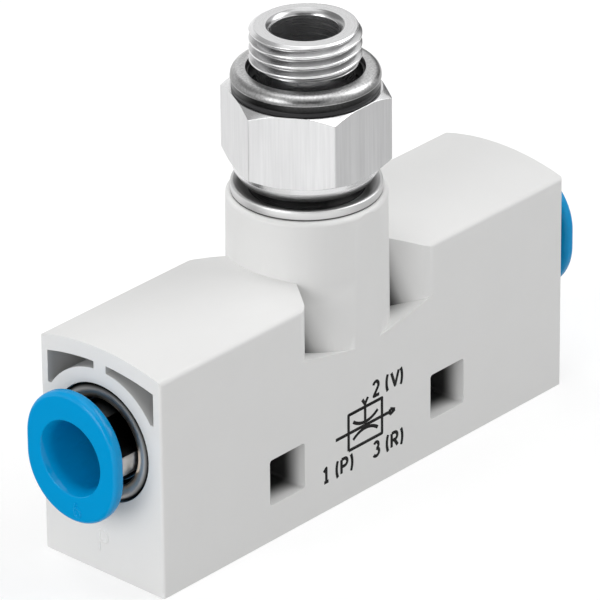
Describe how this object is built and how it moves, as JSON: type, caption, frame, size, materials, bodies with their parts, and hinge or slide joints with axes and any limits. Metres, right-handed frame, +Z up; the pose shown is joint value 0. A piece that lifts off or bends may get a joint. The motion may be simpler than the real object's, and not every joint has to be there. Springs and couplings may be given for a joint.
{
  "type": "in-line vacuum ejector",
  "caption": "Moulded T-shaped vacuum ejector with push-in tube connectors at its ends, nozzles inside and a swivelling threaded nipple on its tower.",
  "frame": {"origin": "on the base, at the middle of the housing's length and width, under the tower's axis", "axes": "+X along the block from the supply end to the exhaust end, +Y across its narrow width away from the printed side, +Z up the tower"},
  "size_m": [0.0598, 0.014, 0.0424],
  "materials": {
    "housing": "fine matte light grey glass-filled moulding",
    "release_ring": "satin bright blue acetal moulding",
    "collet": "polished spring steel",
    "sleeve": "bright nickel plating on turned brass",
    "nozzle_brass": "turned bare brass",
    "alloy": "turned and drawn bare aluminium alloy",
    "seal_metal": "bright zinc-plated steel",
    "rubber": "semi-matte black nitrile rubber"
  },
  "bodies": {
    "housing": {"housing": "housing", "supply_sleeve": "sleeve", "exhaust_sleeve": "sleeve", "supply_backing_ring": "nozzle_brass", "exhaust_backing_ring": "nozzle_brass", "supply_tube_seal": "rubber", "exhaust_tube_seal": "rubber", "jet_nozzle": "nozzle_brass", "jet_nozzle_seal": "rubber", "receiver_nozzle": "alloy", "receiver_nozzle_seal": "rubber", "tower_insert_ring": "alloy"},
    "supply_release": {"supply_release_ring": "release_ring", "supply_collet": "collet"},
    "exhaust_release": {"exhaust_release_ring": "release_ring", "exhaust_collet": "collet"},
    "nipple": {"vacuum_nipple": "alloy", "stem_seal": "rubber", "nipple_retaining_clip": "collet", "thread_seal_carrier": "seal_metal", "thread_seal_rubber": "rubber"}
  },
  "joints": [
    {"name": "supply_release_slide", "type": "slide", "parent": "housing", "child": "supply_release", "axis": [1, 0, 0], "range_m": [0, 0.0012], "stiffness_N_per_m": 400},
    {"name": "exhaust_release_slide", "type": "slide", "parent": "housing", "child": "exhaust_release", "axis": [-1, 0, 0], "range_m": [0, 0.0012], "stiffness_N_per_m": 400},
    {"name": "nipple_swivel", "type": "hinge", "parent": "housing", "child": "nipple", "pos_m": [0, 0, 0.027], "axis": [0, 0, 1], "continuous": true}
  ]
}
